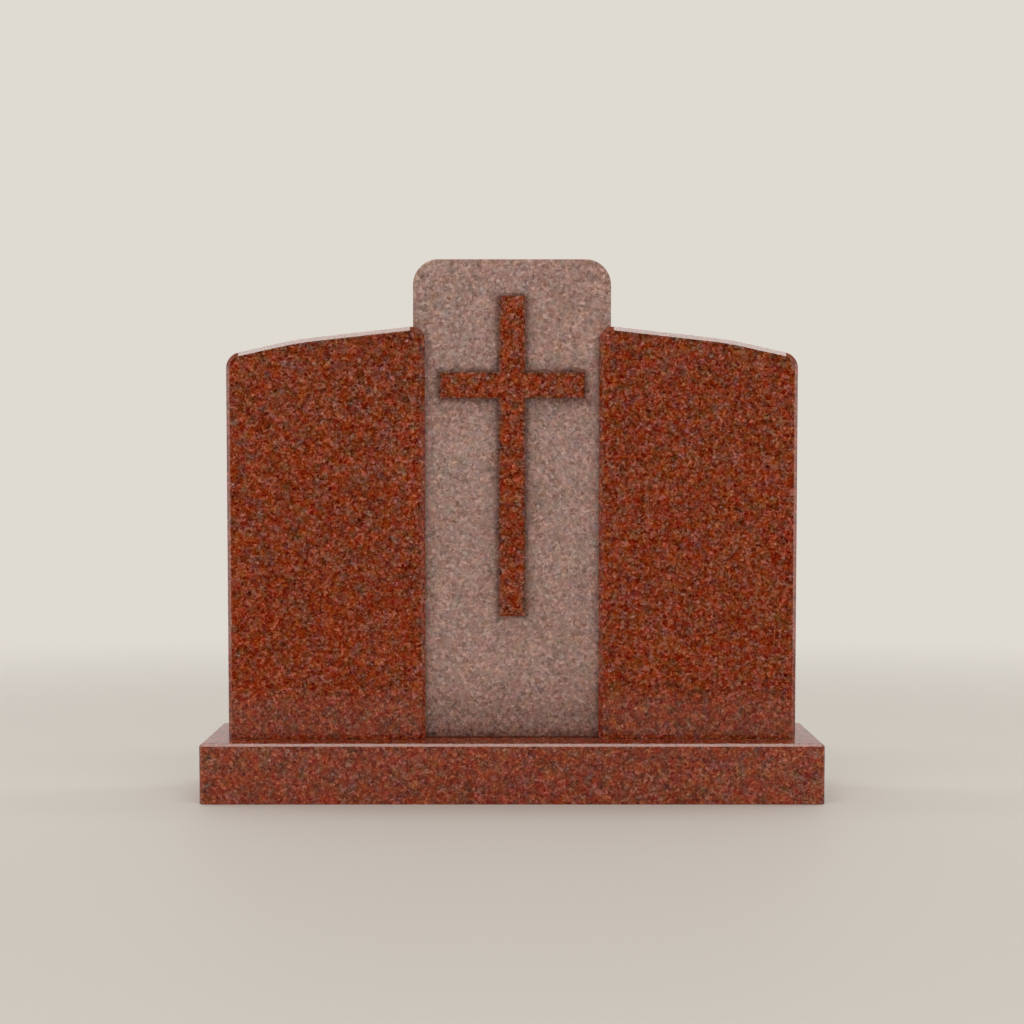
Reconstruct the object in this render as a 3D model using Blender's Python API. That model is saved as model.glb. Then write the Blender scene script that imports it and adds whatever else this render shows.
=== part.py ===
"""Cross headstone: two red granite wings lap over the edges of a tall pale slab, which bears a cross.

Metres, +Z up. The origin is on the ground, under the middle of the base. Whoever faces the cross looks
along +Y and has +X on the right.
"""

import math

import bmesh
import bpy

# Wings, which stand to the left and right of the slab
WING_WIDTH = 0.330
WING_DEPTH = 0.100
WING_HEIGHT = 0.690  # at the inner side, where the top is highest
WING_INNER_FALL = 0.024  # the top falls by this much to the break, where its slope changes
WING_OUTER_FALL = 0.026  # and by this much from the break to the outer side
WING_BREAK_PLACE = 0.1175  # from the outer side to the break
WING_BREAK_EASE = 0.026  # how far along either slope the arc reaches that eases the break
WING_INNER_RADIUS = 0.0225
WING_OUTER_RADIUS = 0.027
WING_CHAMFER = 0.007
LIP_THICKNESS = 0.014  # the front of each wing passes over the slab as a lip
LIP_LAP = 0.020

# Slab, which fills the rebates behind the two lips and is flush with the wings' backs
SLAB_WIDTH = 0.330
SLAB_HEIGHT = 0.800
SLAB_CORNER_RADIUS = 0.043
SLAB_ARRIS = 0.0015

# Cross, which is set on the slab's face
CROSS_HEIGHT = 0.532
CROSS_MARGIN = 0.024  # from the end of an arm to the wing beside it
CROSS_BAR = 0.044
CROSS_THICKNESS = 0.014
CROSS_CHAMFER = 0.001
CROSS_TOP_DROP = 0.062  # from the slab's top to the cross's top
CROSS_ARM_DROP = 0.148  # from the cross's top to the middle of its arms

# Base, which stands out by the same ledge on all four sides
BASE_HEIGHT = 0.100
BASE_LEDGE = 0.040
BASE_CHAMFER = 0.0045

# Thin glued joint between stones that touch
JOINT = 0.0003

CORNER_SEGMENTS = 20
BREAK_SEGMENTS = 8
SHARP_ANGLE = math.radians(30)
CUTTER_MARGIN = 0.010

WING_INNER_X = SLAB_WIDTH / 2 - LIP_LAP
BODY_WIDTH = 2 * (WING_INNER_X + WING_WIDTH)
WING_FRONT_Y = -WING_DEPTH / 2
SLAB_FRONT_Y = WING_FRONT_Y + LIP_THICKNESS + JOINT
SLAB_DEPTH = WING_FRONT_Y + WING_DEPTH - SLAB_FRONT_Y
FOOT_Z = BASE_HEIGHT + JOINT
CROSS_SPAN = 2 * (WING_INNER_X - CROSS_MARGIN)


def stone(name, color, roughness):
    """Material of one kind of stone."""
    material = bpy.data.materials.new(name)
    material.use_nodes = True
    shader = material.node_tree.nodes["Principled BSDF"]
    shader.inputs["Base Color"].default_value = (*color, 1.0)
    shader.inputs["Roughness"].default_value = roughness
    shader.inputs["Metallic"].default_value = 0.0
    material.diffuse_color = (*color, 1.0)
    return material


def moved_in(corners, insets):
    """Corners of a clockwise outline after each side, counted from its first corner, moves inward."""
    count = len(corners)
    lines = []
    for (x0, z0), (x1, z1), inset in zip(corners, corners[1:] + corners[:1], insets):
        length = math.hypot(x1 - x0, z1 - z0)
        normal = ((z1 - z0) / length, (x0 - x1) / length)
        lines.append((normal, normal[0] * x0 + normal[1] * z0 + inset))
    moved = []
    for index in range(count):
        (a, b), e = lines[index - 1]
        (c, d), f = lines[index]
        cross = a * d - b * c
        moved.append(((e * d - b * f) / cross, (a * f - e * c) / cross))
    return moved


def arms(before, corner, after):
    """Unit vectors from a corner along its two sides, and half the angle between them."""
    ends = []
    for other in (before, after):
        length = math.dist(corner, other)
        ends.append(((other[0] - corner[0]) / length, (other[1] - corner[1]) / length))
    (ux, uz), (vx, vz) = ends
    return ends[0], ends[1], math.acos(ux * vx + uz * vz) / 2


def fillet(before, corner, after, radius, segments):
    """Points of the arc that rounds a corner."""
    (ux, uz), (vx, vz), half = arms(before, corner, after)
    bisector = math.hypot(ux + vx, uz + vz)
    reach = radius / math.sin(half) / bisector
    centre = (corner[0] + reach * (ux + vx), corner[1] + reach * (uz + vz))
    tangent = radius / math.tan(half)
    start = math.atan2(corner[1] + tangent * uz - centre[1], corner[0] + tangent * ux - centre[0])
    end = math.atan2(corner[1] + tangent * vz - centre[1], corner[0] + tangent * vx - centre[0])
    sweep = math.remainder(end - start, math.tau)
    angles = [start + sweep * step / segments for step in range(segments + 1)]
    return [(centre[0] + radius * math.cos(a), centre[1] + radius * math.sin(a)) for a in angles]


def outline(corners, rounding, insets):
    """Closed outline moved inward, its corners rounded about the same centres as before.

    rounding maps a corner's number to the radius and segments of its arc.
    """
    moved = moved_in(corners, insets)
    points = []
    for index, corner in enumerate(moved):
        if index in rounding:
            radius, segments = rounding[index]
            after = moved[(index + 1) % len(moved)]
            points += fillet(moved[index - 1], corner, after, radius - max(insets), segments)
        else:
            points.append(corner)
    return points


def cut_stone(name, corners, rounding, depth, front_chamfer, back_chamfer, foot, material):
    """Stone with a given front outline, its face at Y = 0 and its back at Y = depth.

    foot is the number of the side that stands on something and has no chamfer, or None.
    """
    stations = [(0.0, front_chamfer), (front_chamfer, 0.0), (depth - back_chamfer, 0.0)]
    if back_chamfer:
        stations.append((depth, back_chamfer))
    mesh = bmesh.new()
    rings = []
    for y, chamfer in stations:
        insets = [0.0 if side == foot else chamfer for side in range(len(corners))]
        points = outline(corners, rounding, insets)
        rings.append([mesh.verts.new((x, y, z)) for x, z in points])
    for near, far in zip(rings, rings[1:]):
        for index in range(len(near)):
            mesh.faces.new((near[index - 1], near[index], far[index], far[index - 1]))
    mesh.faces.new(rings[0])
    mesh.faces.new(list(reversed(rings[-1])))
    return finished(name, mesh, material)


def finished(name, mesh, material):
    """Object from a closed bmesh, with its normals outward and its round stretches smooth."""
    bmesh.ops.recalc_face_normals(mesh, faces=mesh.faces)
    data = bpy.data.meshes.new(name)
    mesh.to_mesh(data)
    mesh.free()
    data.materials.append(material)
    data.shade_smooth()
    data.set_sharp_from_angle(angle=SHARP_ANGLE)
    piece = bpy.data.objects.new(name, data)
    bpy.context.collection.objects.link(piece)
    return piece


def box(name, low, high, material, chamfer=0.0):
    """Block between two corners; a chamfer breaks all its edges but those of its underside."""
    mesh = bmesh.new()
    bmesh.ops.create_cube(mesh, size=1.0)
    for vertex in mesh.verts:
        vertex.co = [lo if c < 0 else hi for c, lo, hi in zip(vertex.co, low, high)]
    if chamfer:
        edges = [e for e in mesh.edges if max(v.co.z for v in e.verts) > low[2]]
        bmesh.ops.bevel(mesh, geom=edges, offset=chamfer, segments=1, affect="EDGES")
    return finished(name, mesh, material)


def make_base(material):
    """Low block under the whole headstone."""
    half_width = BODY_WIDTH / 2 + BASE_LEDGE
    half_depth = WING_DEPTH / 2 + BASE_LEDGE
    low = (-half_width, -half_depth, 0.0)
    high = (half_width, half_depth, BASE_HEIGHT)
    return box("base", low, high, material, BASE_CHAMFER)


def make_wing(name, side, material):
    """One wing; side is -1 on the left and 1 on the right. Its rebate takes the slab's edge."""
    inner, outer = 0.0, side * WING_WIDTH
    break_x = side * (WING_WIDTH - WING_BREAK_PLACE)
    break_height = WING_HEIGHT - WING_INNER_FALL
    corners = [
        (outer, 0.0),
        (outer, break_height - WING_OUTER_FALL),
        (break_x, break_height),
        (inner, WING_HEIGHT),
        (inner, 0.0),
    ]
    half_break_angle = arms(*corners[1:4])[2]
    rounding = {
        1: (WING_OUTER_RADIUS, CORNER_SEGMENTS),
        2: (WING_BREAK_EASE * math.tan(half_break_angle), BREAK_SEGMENTS),
        3: (WING_INNER_RADIUS, CORNER_SEGMENTS),
    }
    foot = 4
    if side > 0:
        corners.reverse()
        rounding = {4 - corner: arc for corner, arc in rounding.items()}
    wing = cut_stone(name, corners, rounding, WING_DEPTH, WING_CHAMFER, WING_CHAMFER, foot, material)
    wing.location = (side * WING_INNER_X, WING_FRONT_Y, FOOT_Z)

    rebate = sorted((-side * CUTTER_MARGIN, side * (LIP_LAP + JOINT)))
    low = (rebate[0], LIP_THICKNESS, -CUTTER_MARGIN)
    high = (rebate[1], WING_DEPTH + CUTTER_MARGIN, WING_HEIGHT + CUTTER_MARGIN)
    cutter = box(name + "_rebate_cutter", low, high, material)
    cutter.parent = wing
    cutter.hide_render = True
    cutter.display_type = "WIRE"
    cut = wing.modifiers.new("rebate", "BOOLEAN")
    cut.operation = "DIFFERENCE"
    cut.object = cutter
    return wing


def make_slab(material):
    """Tall slab between the wings, with round top corners and a fine arris."""
    half = SLAB_WIDTH / 2
    corners = [(-half, 0.0), (-half, SLAB_HEIGHT), (half, SLAB_HEIGHT), (half, 0.0)]
    rounding = {corner: (SLAB_CORNER_RADIUS, CORNER_SEGMENTS) for corner in (1, 2)}
    slab = cut_stone("centre_slab", corners, rounding, SLAB_DEPTH, SLAB_ARRIS, SLAB_ARRIS, 3, material)
    slab.location = (0.0, SLAB_FRONT_Y, FOOT_Z)
    return slab


def make_cross(slab, material):
    """Latin cross with square ends; its own origin is where its two bars cross, on its face."""
    half_bar = CROSS_BAR / 2
    half_span = CROSS_SPAN / 2
    top = CROSS_ARM_DROP
    bottom = CROSS_ARM_DROP - CROSS_HEIGHT
    right = [
        (half_bar, top),
        (half_bar, half_bar),
        (half_span, half_bar),
        (half_span, -half_bar),
        (half_bar, -half_bar),
        (half_bar, bottom),
    ]
    left = [(-x, z) for x, z in reversed(right)]
    cross = cut_stone("cross", right + left, {}, CROSS_THICKNESS, CROSS_CHAMFER, 0.0, None, material)
    cross.parent = slab
    arm_height = SLAB_HEIGHT - CROSS_TOP_DROP - CROSS_ARM_DROP
    cross.location = (0.0, -JOINT - CROSS_THICKNESS, arm_height)
    return cross


def main():
    for old in list(bpy.data.objects):
        bpy.data.objects.remove(old, do_unlink=True)
    polished_red = stone("polished_red_granite", (0.19, 0.040, 0.018), 0.12)
    unpolished_pale = stone("unpolished_pale_granite", (0.33, 0.21, 0.17), 0.75)

    headstone = bpy.data.objects.new("headstone", None)
    bpy.context.collection.objects.link(headstone)
    slab = make_slab(unpolished_pale)
    make_cross(slab, polished_red)
    wings = [make_wing("left_wing", -1, polished_red), make_wing("right_wing", 1, polished_red)]
    for piece in [make_base(polished_red), slab] + wings:
        piece.parent = headstone


main()
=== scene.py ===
"""Looks of the cross headstone: polished red granite, an unpolished pale slab, camera, light and floor.

Metres, in the CAD model's frame: +Z up, the cross faces -Y.
"""

import math

import bmesh
import bpy
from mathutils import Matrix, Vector, noise


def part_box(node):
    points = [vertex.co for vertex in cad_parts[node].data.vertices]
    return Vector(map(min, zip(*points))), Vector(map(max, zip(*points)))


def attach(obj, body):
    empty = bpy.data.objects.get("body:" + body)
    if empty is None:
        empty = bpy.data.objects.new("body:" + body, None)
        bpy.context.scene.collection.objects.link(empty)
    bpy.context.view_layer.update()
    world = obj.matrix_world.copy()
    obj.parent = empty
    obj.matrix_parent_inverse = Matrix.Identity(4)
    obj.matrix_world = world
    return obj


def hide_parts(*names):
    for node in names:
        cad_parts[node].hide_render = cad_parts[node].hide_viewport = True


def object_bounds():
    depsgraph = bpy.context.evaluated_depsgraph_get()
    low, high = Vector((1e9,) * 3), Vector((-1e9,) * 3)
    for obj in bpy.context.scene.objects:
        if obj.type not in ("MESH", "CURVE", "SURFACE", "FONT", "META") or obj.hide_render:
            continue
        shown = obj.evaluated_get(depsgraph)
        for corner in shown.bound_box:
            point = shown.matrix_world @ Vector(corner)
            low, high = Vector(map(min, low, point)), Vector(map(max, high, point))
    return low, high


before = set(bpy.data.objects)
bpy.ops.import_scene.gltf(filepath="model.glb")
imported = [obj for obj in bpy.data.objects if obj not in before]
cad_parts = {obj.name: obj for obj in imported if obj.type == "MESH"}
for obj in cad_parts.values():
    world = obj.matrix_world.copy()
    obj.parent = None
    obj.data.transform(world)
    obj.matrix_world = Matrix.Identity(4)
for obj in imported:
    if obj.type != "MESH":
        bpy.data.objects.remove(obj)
cad_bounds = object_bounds()

# Camera, as the photograph was taken
LENS = 45.8
SENSOR = 36.0
CAMERA_DISTANCE = 2.124  # from the base's front
CAMERA_HEIGHT = 0.561
CAMERA_DOWN = math.radians(2.14)

# Plain background that the camera sees
BACKGROUND = (0.745, 0.708, 0.644)

# Soft light from all round, dimmer in the directions that the polished faces mirror to the camera
DOME_HORIZON = 0.92
DOME_SIDES = 0.55  # how bright it is straight to either side, beside the rest
DOME_SIDE_FADE = (0.85, 0.98)  # sideways part of the directions between which it dims
DOME_ZENITH = 0.44
DOME_COLOR = (1.0, 0.97, 0.93)
DIM_PATCH = 0.06
DIM_PATCH_DOWN = math.radians(4)  # its middle, below straight ahead
DIM_PATCH_INNER = math.radians(16)
DIM_PATCH_OUTER = math.radians(28)

# Strips and panels of light: a strip in front that the base's chamfer mirrors, two overhead that the wings'
# top chamfers mirror, and a panel to either side
STRIP_HEIGHT = 3.0
FRONT_STRIP_Y = -0.72
FRONT_STRIP_SIZE = (2.6, 0.16)
FRONT_STRIP_RADIANCE = 9.5
TOP_STRIP_X = 1.0
TOP_STRIP_Y = 0.25
TOP_STRIP_SIZE = (1.05, 0.24)
TOP_STRIP_RADIANCE = 9.2
TOP_STRIP_COLOR = (0.90, 1.0, 0.975)
SIDE_PANEL_PLACE = (2.8, 0.6, 0.6)
SIDE_PANEL_TARGET = (0.0, 0.0, 0.5)
SIDE_PANEL_SIZE = (0.7, 1.4)
SIDE_PANEL_RADIANCE = 1.3

FLOOR_COLOR = (0.80, 0.76, 0.71)
FLOOR_ROUGHNESS = 0.6
FLOOR_SPECULAR = 0.2
FLOOR_RADIUS = 12.0
FLOOR_SEGMENTS = 96
FLOOR_DROP = 0.0002  # how far it lies below the base's underside
FLOOR_FADE = (0.7, 2.1)  # how far off it starts and ends to fade, as the camera sees it
FLOOR_MIRRORED_FADE = (0.97, 1.06)  # and as the polished stones mirror it
FLOOR_LENGTHENING = 2.0  # how much farther off it fades to either side

# Round edges of the polished stones
ARRIS = 0.0003
ARRIS_SEGMENTS = 2
ARRIS_ANGLE = math.radians(20)
FLAT_ANGLE = math.radians(0.2)  # faces that meet at less are one flat face
MERGE = 0.00038  # points nearer than this are one point

# Slab, whose surface is a fine grid with low relief that only goes inward
SLAB_CORNER_RADIUS = 0.043
SLAB_ARRIS = 0.0015
GRID = 0.0028
DEPTH_GRID = 0.0045
CORNER_ROWS = 24
RELIEF = 0.0004
RELIEF_MIDDLE = 0.25  # these four are shares of the relief
GRIT_DEPTH = 0.45
WAVE_DEPTH = 0.22
FINE_DEPTH = 0.18
GRIT = 0.0050  # size of the crystals that stand out of it
WAVE = 0.045  # size of its slow undulation
WAVE_FALL = 1.0  # how fast its finer waves get weaker
WAVE_STEP = 2.0  # how much finer each next wave is
WAVE_COUNT = 3
FINE = 0.0025

# Painted shade in the corners, along edges and towards the tops, and a faint even darkening of the cross:
# how much darker, and how far it reaches
CROSS_BAR = 0.044
CROSS_ARM_DROP = 0.148  # from the cross's top to the middle of its arms
# painted shade on the slab all round the cross
CROSS_SHADE = 0.148
CROSS_SHADE_REACH = 0.009
UNDER_ARMS = 0.45  # share of it just below the arms, where their shadow falls
CROSS_EDGE_SHADE = 0.095  # painted shade along the cross's own edges, but not at its foot
CROSS_EDGE_REACH = 0.0065
CROSS_FOOT_REACH = 0.010  # how far up the cross this painted shade sets in
CROSS_FACE_DIRT = 0.010
ARM_SHADE = 0.048  # painted shade above and below the arms, added to that by the cross
ARM_SHADE_REACH = 0.032
# painted shade on the slab beside the wings' inner edges
WING_SHADE = 0.040
WING_SHADE_REACH = 0.022
# painted shade at the slab's foot above the base's ledge: a dark narrow band, and a wider fainter one
FOOT_SHADE = 0.115
FOOT_SHADE_REACH = 0.022
LOW_SHADE = 0.108
LOW_SHADE_REACH = 0.122
# painted shade that darkens the slab towards its top, where the light from above falls brightest
TOP_SHADE = 0.018
TOP_SHADE_REACH = 0.170
SLAB_FACE_DEPTH = 0.002  # a place this near to the cross's back is on the slab's face
WING_EDGE_SHADE = 0.05  # painted shade in a thin line below the chamfer along each wing's top
WING_EDGE_REACH = 0.006
# painted shade: each wing's face darker towards its top
WING_TOP_SHADE = 0.024
WING_TOP_REACH = 0.33
WING_FACE_DEPTH = 0.001

# Top of each wing, whose two slopes meet at the break
WING_CHAMFER = 0.007
WING_BREAK = (0.3575, 0.024)  # how far it lies from the middle, and below the wing's highest point
WING_INNER_SLOPE = 0.113
WING_OUTER_SLOPE = 0.221


def link(tree, source, target):
    """Connect an output to an input."""
    tree.links.new(source, target)


def new_node(tree, kind, **settings):
    """Shader node of a kind, with some of its properties set."""
    node = tree.nodes.new(kind)
    for name, value in settings.items():
        setattr(node, name, value)
    return node


def feed(tree, socket, value):
    """Connect a socket to a socket, or set its value."""
    if isinstance(value, bpy.types.NodeSocket):
        link(tree, value, socket)
    else:
        socket.default_value = value


def math_node(tree, operation, *values):
    """Result of an operation on numbers."""
    node = new_node(tree, "ShaderNodeMath", operation=operation)
    for socket, value in zip(node.inputs, values):
        feed(tree, socket, value)
    return node.outputs[0]


def vector_math(tree, operation, *values):
    """Result of an operation on vectors."""
    node = new_node(tree, "ShaderNodeVectorMath", operation=operation)
    for socket, value in zip(node.inputs, values):
        feed(tree, socket, value)
    return node.outputs["Value" if operation in ("LENGTH", "DOT_PRODUCT") else "Vector"]


def scaled(tree, vector, factor):
    """Vector times a number."""
    node = new_node(tree, "ShaderNodeVectorMath", operation="SCALE")
    feed(tree, node.inputs[0], vector)
    feed(tree, node.inputs["Scale"], factor)
    return node.outputs[0]


def smooth_step(tree, value, low, high, at_low, at_high):
    """Value that goes smoothly from at_low to at_high while the input goes from low to high."""
    node = new_node(tree, "ShaderNodeMapRange", interpolation_type="SMOOTHSTEP")
    for socket, setting in zip(node.inputs, (value, low, high, at_low, at_high)):
        feed(tree, socket, setting)
    return node.outputs[0]


def separated_color(tree, color):
    """Red, green and blue of a colour."""
    node = new_node(tree, "ShaderNodeSeparateColor")
    link(tree, color, node.inputs[0])
    return node.outputs


def separated(tree, vector):
    """X, Y and Z of a vector."""
    node = new_node(tree, "ShaderNodeSeparateXYZ")
    link(tree, vector, node.inputs[0])
    return node.outputs


def noise_texture(tree, place, size, detail):
    """Three smooth noises whose largest waves have about the given size in metres."""
    node = new_node(tree, "ShaderNodeTexNoise")
    feed(tree, node.inputs["Vector"], place)
    node.inputs["Scale"].default_value = 1.0 / size
    node.inputs["Detail"].default_value = detail
    return separated_color(tree, node.outputs["Color"])


def crystals(tree, place, size):
    """Three random numbers from 0 to 1 for each crystal of about the given size in metres."""
    node = new_node(tree, "ShaderNodeTexVoronoi")
    feed(tree, node.inputs["Vector"], place)
    node.inputs["Scale"].default_value = 1.0 / size
    return separated_color(tree, node.outputs["Color"])


def spread(tree, value, skew=0.0, tail=0.0):
    """Number from 0 to 1 turned into one about 0; skew moves its high end out, and tail both ends."""
    centred = math_node(tree, "SUBTRACT", value, 0.5)
    slope = math_node(tree, "MULTIPLY_ADD", centred, tail, skew)
    return math_node(tree, "MULTIPLY", centred, math_node(tree, "MULTIPLY_ADD", centred, slope, 1.0))


def weighted_sum(tree, terms):
    """Sum of weight x input over (input, weight) pairs."""
    total = 0.0
    for value, weight in terms:
        total = math_node(tree, "MULTIPLY_ADD", value, weight, total)
    return total


RED_GRANITE = {
    "mean": (0.557, 0.255, 0.147),
    "tone": 0.140,
    "fine_tone": 0.130,
    "tone_skew": 0.5,
    "tone_axis": (1.03, 1.06, 1.16),
    "hue": 0.29,
    "hue_axis": (1.0, -0.31, -0.85),
    "crystal_hue": 0.040,
    "tint": 0.130,
    "drift": 0.06,
    "hue_drift": 0.03,
    "darkening_axis": (-1.0, 0.0, 0.35),  # the painted darkening hides the red
    "crystal": 0.0043,
    "roughness": 0.09,
    "specular": 0.34,
    "bump": 0.0,
}
PALE_GRANITE = {
    "mean": (0.709, 0.570, 0.527),
    "tone": 0.116,
    "fine_tone": 0.102,
    "tone_skew": 0.0,
    "tone_axis": (1.0, 0.97, 0.97),
    "hue": 0.110,
    "hue_axis": (1.45, 0.10, -0.35),
    "crystal_hue": 0.012,
    "tint": 0.055,
    "drift": 0.06,
    "hue_drift": 0.03,
    # colour change of the painted darkening
    "darkening_axis": (-0.93, -0.97, -0.97),
    "crystal": 0.0048,
    "roughness": 0.75,
    "specular": 0.30,
    "bump": 0.0002,
}
CHIP_SHARE = 0.62  # size of the small crystals beside that of the large ones
BEND = 2.2  # how far the crystals' outlines are bent, beside their size
BEND_SIZE = 1.2  # size of the bends, beside theirs
HUE_PATCH = 0.014
DRIFT_SIZE = 0.12  # of the slow changes of tone and hue
HUE_SKEW = -0.4  # the blue-grey patches are fewer and stronger than the orange ones
TONE_TAIL = 4.0
TINT_AXIS = (0.4, -0.55, 1.0)  # from olive to purple
DARKEST = 0.03
CHAMFER_GRAIN = 0.4  # share of the grain that shows on the chamfers that mirror the bright sky
CHAMFER_SLANT = (0.20, 0.45)  # the normal's Y times its Z, which is 0.5 on such a chamfer
DISPLAY_GAMMA = 2.2


def grain_share(tree, normal):
    """Share of the grain that shows: less on the chamfers between a face and a top, all of it elsewhere."""
    _, y, z = separated(tree, normal)
    slant = math_node(tree, "ABSOLUTE", math_node(tree, "MULTIPLY", y, z))
    return smooth_step(tree, slant, *CHAMFER_SLANT, 1.0, CHAMFER_GRAIN)


def granite(name, stone, offset, painted_darkening=None):
    """Granite of crystals in two sizes and patches of hue, which add up in display values.

    painted_darkening is a function that gives how much darker each place of the stone is painted: mostly
    painted shade in its corners, along its edges and towards its top.
    """
    material = bpy.data.materials.new(name)
    material.use_nodes = True
    tree = material.node_tree
    shader = tree.nodes["Principled BSDF"]
    coordinates = new_node(tree, "ShaderNodeTexCoord")
    object_place = coordinates.outputs["Object"]
    place = vector_math(tree, "ADD", object_place, offset)
    crystal = stone["crystal"]
    bend = new_node(tree, "ShaderNodeCombineXYZ")
    for socket, part in zip(bend.inputs, noise_texture(tree, place, BEND_SIZE * crystal, detail=2.0)):
        link(tree, part, socket)
    bend = vector_math(tree, "SUBTRACT", bend.outputs[0], (0.5, 0.5, 0.5))
    bent = vector_math(tree, "ADD", place, scaled(tree, bend, BEND * crystal))

    large = crystals(tree, bent, crystal)
    small = crystals(tree, bent, CHIP_SHARE * crystal)
    patch = noise_texture(tree, place, HUE_PATCH, detail=1.0)
    drift = noise_texture(tree, place, DRIFT_SIZE, detail=4.0)

    tone = weighted_sum(tree, [
        (spread(tree, large[0], stone["tone_skew"], TONE_TAIL), stone["tone"]),
        (spread(tree, small[0], stone["tone_skew"], TONE_TAIL), stone["fine_tone"]),
        (spread(tree, drift[0]), stone["drift"]),
    ])
    hue = weighted_sum(tree, [
        (spread(tree, patch[0], HUE_SKEW), stone["hue"]),
        (spread(tree, large[1]), stone["crystal_hue"]),
        (spread(tree, drift[1]), stone["hue_drift"]),
    ])
    tint = math_node(tree, "MULTIPLY", spread(tree, patch[1]), stone["tint"])

    grain = scaled(tree, stone["tone_axis"], tone)
    grain = vector_math(tree, "ADD", grain, scaled(tree, stone["hue_axis"], hue))
    grain = vector_math(tree, "ADD", grain, scaled(tree, TINT_AXIS, tint))
    grain = scaled(tree, grain, grain_share(tree, coordinates.outputs["Normal"]))
    color = vector_math(tree, "ADD", grain, stone["mean"])
    if painted_darkening:
        # painted shade, and on the cross a faint even darkening
        color = vector_math(tree, "ADD", color, scaled(tree, stone["darkening_axis"], painted_darkening(tree, object_place)))
    color = vector_math(tree, "MAXIMUM", color, (DARKEST, DARKEST, DARKEST))
    gamma = new_node(tree, "ShaderNodeGamma")
    link(tree, color, gamma.inputs["Color"])
    gamma.inputs["Gamma"].default_value = DISPLAY_GAMMA
    link(tree, gamma.outputs[0], shader.inputs["Base Color"])

    shader.inputs["Roughness"].default_value = stone["roughness"]
    shader.inputs["Specular IOR Level"].default_value = stone["specular"]
    if stone["bump"]:
        bump = new_node(tree, "ShaderNodeBump")
        bump.inputs["Distance"].default_value = stone["bump"]
        link(tree, small[0], bump.inputs["Height"])
        link(tree, bump.outputs[0], shader.inputs["Normal"])
    return material


def outside_cross(tree, aside, height):
    """How far a place lies outside the cross, and outside its arms alone."""
    def outside(half_width, bottom, top):
        beside = math_node(tree, "SUBTRACT", aside, half_width)
        level = math_node(tree, "ABSOLUTE", math_node(tree, "SUBTRACT", height, (bottom + top) / 2))
        return math_node(tree, "MAXIMUM", beside, math_node(tree, "SUBTRACT", level, (top - bottom) / 2))

    low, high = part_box("cross")
    arm = high.z - CROSS_ARM_DROP
    bar = outside(CROSS_BAR / 2, low.z, high.z)
    arms = outside(high.x, arm - CROSS_BAR / 2, arm + CROSS_BAR / 2)
    return math_node(tree, "MINIMUM", bar, arms), arms


def painted_cross_shade_and_tone(tree, place):
    """Painted shade along the cross's edges, and a faint even darkening all over its face."""
    x, _, height = separated(tree, place)
    outside = outside_cross(tree, math_node(tree, "ABSOLUTE", x), height)[0]
    # painted shade, darkest at the cross's outline
    by_edge = smooth_step(tree, outside, -CROSS_EDGE_REACH, 0.0, 0.0, CROSS_EDGE_SHADE)
    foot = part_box("cross")[0].z
    off_foot = smooth_step(tree, height, foot, foot + CROSS_FOOT_REACH, 0.0, 1.0)
    return math_node(tree, "MULTIPLY_ADD", by_edge, off_foot, CROSS_FACE_DIRT)


def painted_wing_shade(tree, place):
    """Painted shade that thins out down a wing's face, and a thin line of painted shade below the top's
    chamfer.
    """
    x, y, height = separated(tree, place)
    low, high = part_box("right_wing")
    break_x, break_drop = WING_BREAK
    break_z = high.z - break_drop
    past_break = math_node(tree, "SUBTRACT", math_node(tree, "ABSOLUTE", x), break_x)
    inner, outer = (math_node(tree, "MULTIPLY_ADD", past_break, -slope, break_z - WING_CHAMFER)
                    for slope in (WING_INNER_SLOPE, WING_OUTER_SLOPE))
    below = math_node(tree, "SUBTRACT", math_node(tree, "MINIMUM", inner, outer), height)
    line = smooth_step(tree, below, 0.0, WING_EDGE_REACH, WING_EDGE_SHADE, 0.0)
    # painted shade, darker towards the wing's top
    darker_top = smooth_step(tree, height, high.z - WING_TOP_REACH, high.z, 0.0, WING_TOP_SHADE)
    on_face = math_node(tree, "LESS_THAN", y, low.y + WING_FACE_DEPTH)
    return math_node(tree, "MULTIPLY_ADD", line, on_face, darker_top)


def share_below_arms(tree, aside, height):
    """Share of the painted shade by the cross that a place has: less of it in a strip below the arms, where
    their real shadow falls.
    """
    arm_end, _, cross_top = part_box("cross")[1]
    strip_middle = cross_top - CROSS_ARM_DROP - CROSS_BAR / 2 - CROSS_SHADE_REACH
    off_middle = math_node(tree, "ABSOLUTE", math_node(tree, "SUBTRACT", height, strip_middle))
    in_strip = math_node(tree, "LESS_THAN", off_middle, CROSS_SHADE_REACH)
    lacking = smooth_step(tree, aside, arm_end, arm_end + CROSS_SHADE_REACH, UNDER_ARMS - 1.0, 0.0)
    return math_node(tree, "MULTIPLY_ADD", in_strip, lacking, 1.0)


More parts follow.
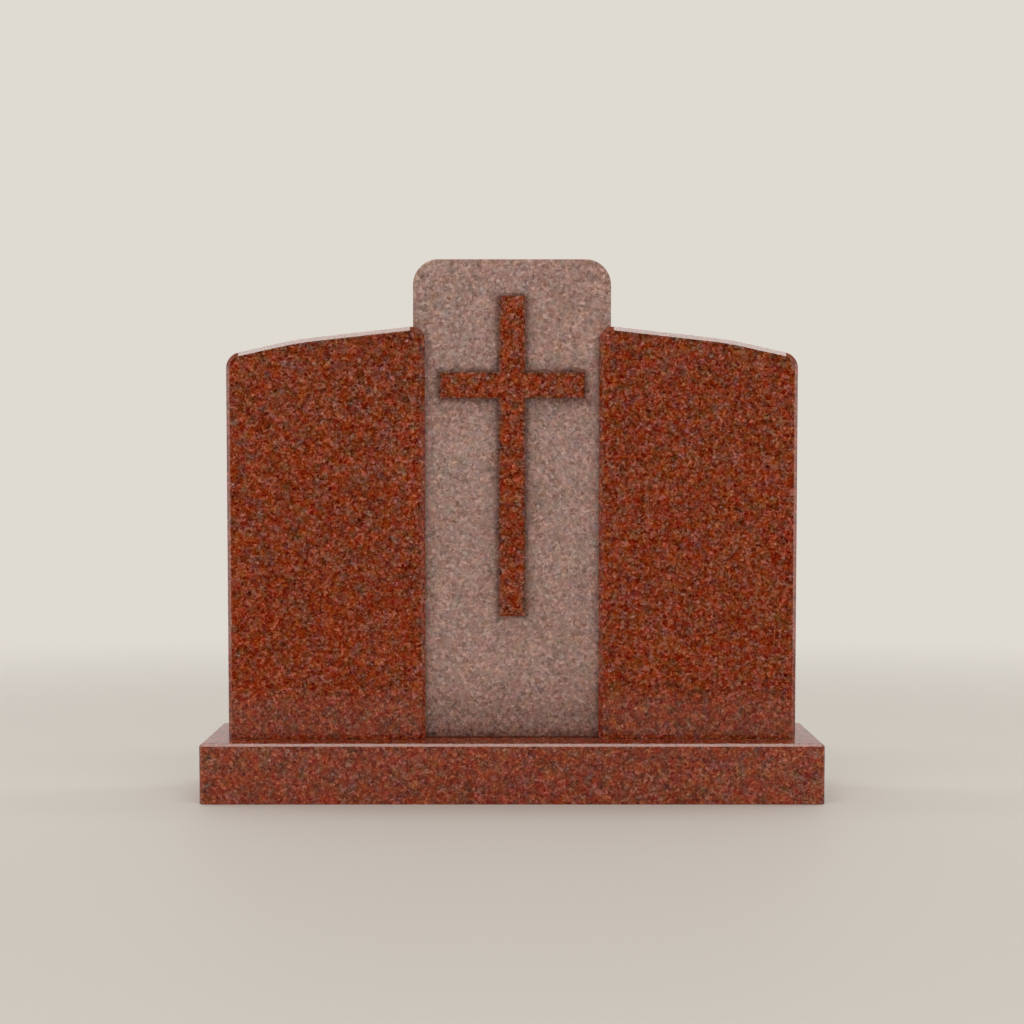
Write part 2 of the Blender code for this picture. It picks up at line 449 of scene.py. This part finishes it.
def painted_slab_shade(tree, place):
    """Painted shade on the slab's face beside the cross, beside the wings and above the base, and darker
    towards its top.
    """
    x, y, height = separated(tree, place)
    aside = math_node(tree, "ABSOLUTE", x)
    outside, outside_arms = outside_cross(tree, aside, height)
    by_cross = smooth_step(tree, outside, 0.0, CROSS_SHADE_REACH, CROSS_SHADE, 0.0)
    by_cross = math_node(tree, "MULTIPLY", by_cross, share_below_arms(tree, aside, height))
    by_arms = smooth_step(tree, outside_arms, 0.0, ARM_SHADE_REACH, ARM_SHADE, 0.0)

    inner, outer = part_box("right_wing")
    beside = math_node(tree, "SUBTRACT", inner.x, aside)
    above = math_node(tree, "SUBTRACT", height, outer.z)
    outside_wing = math_node(tree, "MAXIMUM", beside, above)
    by_wing = smooth_step(tree, outside_wing, 0.0, WING_SHADE_REACH, WING_SHADE, 0.0)

    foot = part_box("base")[1].z
    # painted shade up the slab's lower part, darkest at its foot
    shaded_low = smooth_step(tree, height, foot, foot + LOW_SHADE_REACH, LOW_SHADE, 0.0)
    by_foot = smooth_step(tree, height, foot, foot + FOOT_SHADE_REACH, FOOT_SHADE, 0.0)
    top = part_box("centre_slab")[1].z
    # painted shade, darker towards the slab's top
    darker_top = smooth_step(tree, height, top - TOP_SHADE_REACH, top, 0.0, TOP_SHADE)
    total = math_node(tree, "MAXIMUM", by_cross, by_wing)
    for part in (by_arms, by_foot, shaded_low):
        total = math_node(tree, "ADD", total, part)
    on_face = math_node(tree, "LESS_THAN", y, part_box("cross")[1].y + SLAB_FACE_DEPTH)
    return math_node(tree, "MULTIPLY_ADD", total, on_face, darker_top)


def dressed(node_name, name, material):
    """Finer copy of a CAD stone: its flat faces made whole again and its sharp edges slightly rounded."""
    mesh = bmesh.new()
    mesh.from_mesh(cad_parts[node_name].data)
    bmesh.ops.remove_doubles(mesh, verts=mesh.verts, dist=MERGE)
    bmesh.ops.dissolve_limit(mesh, angle_limit=FLAT_ANGLE, verts=mesh.verts, edges=mesh.edges)
    data = bpy.data.meshes.new(name)
    mesh.to_mesh(data)
    mesh.free()
    data.materials.append(material)
    data.shade_smooth()
    piece = bpy.data.objects.new(name, data)
    bpy.context.scene.collection.objects.link(piece)
    bevel = piece.modifiers.new("arris", "BEVEL")
    bevel.width = ARRIS
    bevel.segments = ARRIS_SEGMENTS
    bevel.limit_method = "ANGLE"
    bevel.angle_limit = ARRIS_ANGLE
    even = piece.modifiers.new("even_shading", "WEIGHTED_NORMAL")
    even.weight = 100
    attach(piece, "root")
    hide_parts(node_name)
    return piece


def half_width(z, high, inset):
    """Half the slab's width at a height, with its outline moved inward by the inset."""
    radius = SLAB_CORNER_RADIUS - inset
    above = z - (high.z - SLAB_CORNER_RADIUS)
    if above <= 0:
        return high.x - inset
    return high.x - SLAB_CORNER_RADIUS + math.sqrt(max(radius ** 2 - above ** 2, 0.0))


def slab_rows(low, high, inset):
    """Heights of the slab's rows of points, evenly up its sides and evenly round its corners."""
    straight = high.z - SLAB_CORNER_RADIUS
    count = round((straight - low.z) / GRID)
    rows = [low.z + (straight - low.z) * step / count for step in range(count)]
    radius = SLAB_CORNER_RADIUS - inset
    angles = [math.pi / 2 * step / CORNER_ROWS for step in range(CORNER_ROWS + 1)]
    return rows + [straight + radius * math.sin(angle) for angle in angles]


def relief_depth(point):
    """How far in the unpolished surface lies at a point: worn crystals on a slow undulation."""
    crystal = noise.voronoi(point / GRIT)[0][0]
    wave = noise.fractal(point / WAVE, WAVE_FALL, WAVE_STEP, WAVE_COUNT)
    fine = noise.noise(point / FINE)
    depth = RELIEF_MIDDLE + GRIT_DEPTH * crystal + WAVE_DEPTH * wave + FINE_DEPTH * fine
    return RELIEF * min(max(depth, 0.0), 1.0)


def out_of_rim(point, low, high):
    """Direction straight out of the slab's rim at a point of it, or none along its foot."""
    corner_x = math.copysign(high.x - SLAB_CORNER_RADIUS, point.x)
    corner = Vector((corner_x, point.y, high.z - SLAB_CORNER_RADIUS))
    if point.z > corner.z and abs(point.x) > abs(corner.x):
        return (point - corner).normalized()
    if point.z > corner.z:
        return Vector((0.0, 0.0, 1.0))
    if point.z > low.z:
        return Vector((math.copysign(1.0, point.x), 0.0, 0.0))
    return Vector((0.0, 0.0, 0.0))


def rough_slab(name, material):
    """Slab as one closed grid: front and back faces, and a rim between their outlines."""
    low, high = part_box("centre_slab")
    columns = round((high.x - low.x) / GRID)
    across = [2 * step / columns - 1 for step in range(columns + 1)]
    mesh = bmesh.new()

    def face_grid(y, inset, inward):
        grid = []
        for z in slab_rows(low, high, inset):
            half = half_width(z, high, inset)
            row = []
            for share in across:
                point = Vector((share * half, y, z))
                point.y += inward * relief_depth(point)
                row.append(mesh.verts.new(point))
            grid.append(row)
        return grid

    def outline_of(grid):
        up_left = [row[0] for row in grid]
        down_right = [row[-1] for row in reversed(grid)]
        return up_left + grid[-1][1:-1] + down_right + list(reversed(grid[0][1:-1]))

    def rim_ring(y):
        left = [Vector((-half_width(z, high, 0.0), y, z)) for z in slab_rows(low, high, 0.0)]
        half_top = half_width(high.z, high, 0.0)
        top = [Vector((share * half_top, y, high.z)) for share in across[1:-1]]
        right = [Vector((-p.x, y, p.z)) for p in reversed(left)]
        foot = [Vector((-share * high.x, y, low.z)) for share in across[1:-1]]
        outline = left + top + right + foot
        return [mesh.verts.new(p - relief_depth(p) * out_of_rim(p, low, high)) for p in outline]

    front = face_grid(low.y, SLAB_ARRIS, 1.0)
    back = face_grid(high.y, SLAB_ARRIS, -1.0)
    depth = high.y - low.y - 2 * SLAB_ARRIS
    steps = round(depth / DEPTH_GRID)
    rings = [outline_of(front)]
    rings += [rim_ring(low.y + SLAB_ARRIS + depth * step / steps) for step in range(steps + 1)]
    rings.append(outline_of(back))
    for grid in (front, back):
        for lower, upper in zip(grid, grid[1:]):
            for index in range(columns):
                mesh.faces.new((lower[index], lower[index + 1], upper[index + 1], upper[index]))
    for near, far in zip(rings, rings[1:]):
        for index in range(len(near)):
            mesh.faces.new((near[index - 1], near[index], far[index], far[index - 1]))
    bmesh.ops.recalc_face_normals(mesh, faces=mesh.faces)
    data = bpy.data.meshes.new(name)
    mesh.to_mesh(data)
    mesh.free()
    data.materials.append(material)
    data.shade_smooth()
    slab = bpy.data.objects.new(name, data)
    bpy.context.scene.collection.objects.link(slab)
    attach(slab, "root")
    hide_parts("centre_slab")
    return slab


def make_camera():
    """Camera where the photograph was taken from."""
    data = bpy.data.cameras.new("camera")
    data.lens = LENS
    data.sensor_width = SENSOR
    camera = bpy.data.objects.new("camera", data)
    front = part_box("base")[0].y
    camera.location = (0.0, front - CAMERA_DISTANCE, CAMERA_HEIGHT)
    camera.rotation_euler = (math.pi / 2 - CAMERA_DOWN, 0.0, 0.0)
    bpy.context.scene.collection.objects.link(camera)
    bpy.context.scene.camera = camera


def make_world():
    """Plain pale background for the camera, and soft light from all round for everything else."""
    world = bpy.data.worlds.new("studio")
    bpy.context.scene.world = world
    world.use_nodes = True
    tree = world.node_tree
    tree.nodes.clear()
    direction = new_node(tree, "ShaderNodeTexCoord").outputs["Generated"]
    ahead = (0.0, -math.cos(DIM_PATCH_DOWN), -math.sin(DIM_PATCH_DOWN))
    nearness = vector_math(tree, "DOT_PRODUCT", direction, ahead)
    outer, inner = math.cos(DIM_PATCH_OUTER), math.cos(DIM_PATCH_INNER)
    x, _, z = separated(tree, direction)
    sky = smooth_step(tree, z, 0.0, 1.0, DOME_HORIZON, DOME_ZENITH)
    at_sides = smooth_step(tree, math_node(tree, "ABSOLUTE", x), *DOME_SIDE_FADE, 1.0, DOME_SIDES)
    sky = math_node(tree, "MULTIPLY", sky, at_sides)
    strength = smooth_step(tree, nearness, outer, inner, sky, DIM_PATCH)
    studio = new_node(tree, "ShaderNodeBackground")
    studio.inputs["Color"].default_value = (*DOME_COLOR, 1.0)
    link(tree, strength, studio.inputs["Strength"])
    backdrop = new_node(tree, "ShaderNodeBackground")
    backdrop.inputs["Color"].default_value = (*BACKGROUND, 1.0)
    mix = new_node(tree, "ShaderNodeMixShader")
    link(tree, new_node(tree, "ShaderNodeLightPath").outputs["Is Camera Ray"], mix.inputs[0])
    link(tree, studio.outputs[0], mix.inputs[1])
    link(tree, backdrop.outputs[0], mix.inputs[2])
    link(tree, mix.outputs[0], new_node(tree, "ShaderNodeOutputWorld").inputs[0])


def area_light(name, place, target, size, radiance, color=DOME_COLOR):
    """Softbox of a width and a height that shows the given radiance, aimed at a point."""
    data = bpy.data.lights.new(name, "AREA")
    data.shape = "RECTANGLE"
    data.size, data.size_y = size
    data.energy = radiance * math.pi * size[0] * size[1]
    data.color = color
    light = bpy.data.objects.new(name, data)
    light.location = place
    light.rotation_mode = "QUATERNION"
    light.rotation_quaternion = (Vector(target) - Vector(place)).to_track_quat("-Z", "Y")
    light.visible_camera = False
    bpy.context.scene.collection.objects.link(light)


def make_lights():
    """Strips straight above where they aim, and the two side panels."""
    def strip(name, x, y, size, radiance, color=DOME_COLOR):
        area_light(name, (x, y, STRIP_HEIGHT), (x, y, 0.0), size, radiance, color)

    strip("front_strip", 0.0, FRONT_STRIP_Y, FRONT_STRIP_SIZE, FRONT_STRIP_RADIANCE)
    panel_x, panel_y, panel_z = SIDE_PANEL_PLACE
    for side in (-1, 1):
        strip(f"top_strip_{side}", side * TOP_STRIP_X, TOP_STRIP_Y, TOP_STRIP_SIZE, TOP_STRIP_RADIANCE,
              TOP_STRIP_COLOR)
        place = (side * panel_x, panel_y, panel_z)
        area_light(f"side_panel_{side}", place, SIDE_PANEL_TARGET, SIDE_PANEL_SIZE, SIDE_PANEL_RADIANCE)


def make_floor():
    """Pale floor that fades into the background away from the object."""
    material = bpy.data.materials.new("floor")
    material.use_nodes = True
    tree = material.node_tree
    shader = tree.nodes["Principled BSDF"]
    shader.inputs["Base Color"].default_value = (*FLOOR_COLOR, 1.0)
    shader.inputs["Roughness"].default_value = FLOOR_ROUGHNESS
    shader.inputs["Specular IOR Level"].default_value = FLOOR_SPECULAR
    place = new_node(tree, "ShaderNodeTexCoord").outputs["Object"]
    place = vector_math(tree, "DIVIDE", place, (FLOOR_LENGTHENING, 1.0, 1.0))
    distance = vector_math(tree, "LENGTH", place)
    seen, mirrored = (smooth_step(tree, distance, start, end, 0.0, 1.0)
                      for start, end in (FLOOR_FADE, FLOOR_MIRRORED_FADE))
    is_seen = new_node(tree, "ShaderNodeLightPath").outputs["Is Camera Ray"]
    fade = smooth_step(tree, is_seen, 0.0, 1.0, mirrored, seen)
    clear = new_node(tree, "ShaderNodeBsdfTransparent")
    mix = new_node(tree, "ShaderNodeMixShader")
    link(tree, fade, mix.inputs[0])
    link(tree, shader.outputs[0], mix.inputs[1])
    link(tree, clear.outputs[0], mix.inputs[2])
    link(tree, mix.outputs[0], tree.nodes["Material Output"].inputs[0])

    mesh = bmesh.new()
    bmesh.ops.create_circle(mesh, cap_ends=True, segments=FLOOR_SEGMENTS, radius=FLOOR_RADIUS)
    data = bpy.data.meshes.new("floor")
    mesh.to_mesh(data)
    mesh.free()
    data.materials.append(material)
    floor = bpy.data.objects.new("floor", data)
    floor.location.z = cad_bounds[0].z - FLOOR_DROP
    bpy.context.scene.collection.objects.link(floor)


def make_stones():
    """All five stones, each with its material and slot."""
    pieces = [
        ("base", "base_stone", (0.3, 0.1, 0.7), None),
        ("left_wing", "left_wing_stone", (1.3, 2.1, 0.4), painted_wing_shade),
        ("right_wing", "right_wing_stone", (3.1, 1.7, 1.9), painted_wing_shade),
        ("cross", "cross_stone", (5.2, 0.6, 2.3), painted_cross_shade_and_tone),
    ]
    for node_name, name, offset, painted_darkening in pieces:
        piece = dressed(node_name, name, granite(f"red_granite_{node_name}", RED_GRANITE, offset, painted_darkening))
    slab = rough_slab("slab_stone", granite("pale_granite", PALE_GRANITE, (0.7, 4.4, 1.1), painted_slab_shade))


bpy.context.scene.view_settings.view_transform = "Standard"
make_camera()
make_world()
make_lights()
make_floor()
make_stones()
